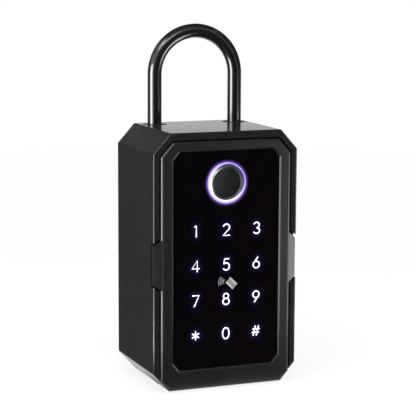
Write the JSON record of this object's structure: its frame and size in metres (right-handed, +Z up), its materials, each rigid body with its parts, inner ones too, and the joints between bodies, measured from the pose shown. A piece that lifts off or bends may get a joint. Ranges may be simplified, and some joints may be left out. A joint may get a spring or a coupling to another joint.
{
  "type": "fingerprint key box",
  "caption": "Key box with a chamfered die-cast case, a drop-down touch keypad door with a fingerprint reader, a motor-driven bolt and a lift-out U-shackle.",
  "frame": {"origin": "middle of the footprint, on the surface that the box stands on", "axes": "+Z up along the shackle's legs, +Y from the door towards the back, +X across the door"},
  "size_m": [0.074, 0.0544, 0.1742],
  "materials": {
    "case_paint": "satin",
    "door_paint": "semi-gloss",
    "shackle_coat": "gloss",
    "black_glass": "polished",
    "ring_light": "lit",
    "sensor_face": "satin",
    "sensor_chrome": "polished",
    "steel": "zinc plated",
    "brass": "machined",
    "black_nylon": "moulded",
    "black_rubber": "matte",
    "board": "solder mask",
    "module": "shield can",
    "lamps": "moulded",
    "flex": "film",
    "cell_can": "printed sleeve"
  },
  "bodies": {
    "case": {"case_shell": "case_paint", "door_gasket": "black_rubber", "strike_plate": "steel", "strike_screws": "steel", "shackle_bushes": "black_nylon", "lock_bracket": "steel", "bracket_screws": "steel", "key_hook": "steel", "hook_screws": "steel"},
    "shackle": {"shackle": "shackle_coat"},
    "lock_slide": {"lock_slide": "steel"},
    "door": {"door_panel": "door_paint", "hinge_pins": "steel", "hinge_pin_springs": "steel", "glass_panel": "black_glass", "touch_board": "board", "key_leds": "lamps", "board_header": "black_nylon", "fingerprint_sensor": "sensor_face", "sensor_bezel": "sensor_chrome", "ring_light_guide": "ring_light", "sensor_flex": "flex", "inner_cover": "black_nylon", "cover_screws": "steel", "battery_cover": "black_nylon", "battery_cover_screws": "steel", "batteries": "cell_can", "battery_plates": "steel", "battery_springs": "steel", "main_board": "board", "radio_module": "module", "buzzer": "black_nylon", "reset_switch": "black_nylon", "usb_socket": "steel", "bolt_guide": "steel", "guide_screws": "steel", "motor_gearbox": "steel", "lock_motor": "steel", "motor_clamp": "steel", "clamp_screws": "steel"},
    "bolt": {"lock_bolt": "steel"},
    "pinion": {"drive_pinion": "brass", "output_shaft": "steel"},
    "reset_button": {"reset_button": "black_nylon"},
    "usb_cap": {"usb_cap": "black_rubber"}
  },
  "joints": [
    {"name": "door_hinge", "type": "hinge", "parent": "case", "child": "door", "pos_m": [0, -0.0205, 0.012], "axis": [1, 0, 0], "range_deg": [0, 95]},
    {"name": "shackle_lift", "type": "slide", "parent": "case", "child": "shackle", "axis": [0, 0, 1], "range_m": [0, 0.024]},
    {"name": "keyhole_plate_slide", "type": "slide", "parent": "case", "child": "lock_slide", "axis": [1, 0, 0], "range_m": [0, 0.005]},
    {"name": "bolt_slide", "type": "slide", "parent": "door", "child": "bolt", "axis": [0, 0, 1], "range_m": [0, 0.0055]},
    {"name": "pinion_spin", "type": "hinge", "parent": "door", "child": "pinion", "pos_m": [-0.006, -0.0095, 0.097], "axis": [1, 0, 0], "range_deg": [-80, 0]},
    {"name": "reset_press", "type": "slide", "parent": "door", "child": "reset_button", "axis": [0, -1, 0], "range_m": [0, 0.0008], "stiffness_N_per_m": 300},
    {"name": "cap_pull", "type": "slide", "parent": "door", "child": "usb_cap", "axis": [0, 0, -1], "range_m": [0, 0.006]}
  ],
  "couplings": [
    {"joint": "pinion_spin", "follows": "bolt_slide", "rad_per_m": -250}
  ]
}
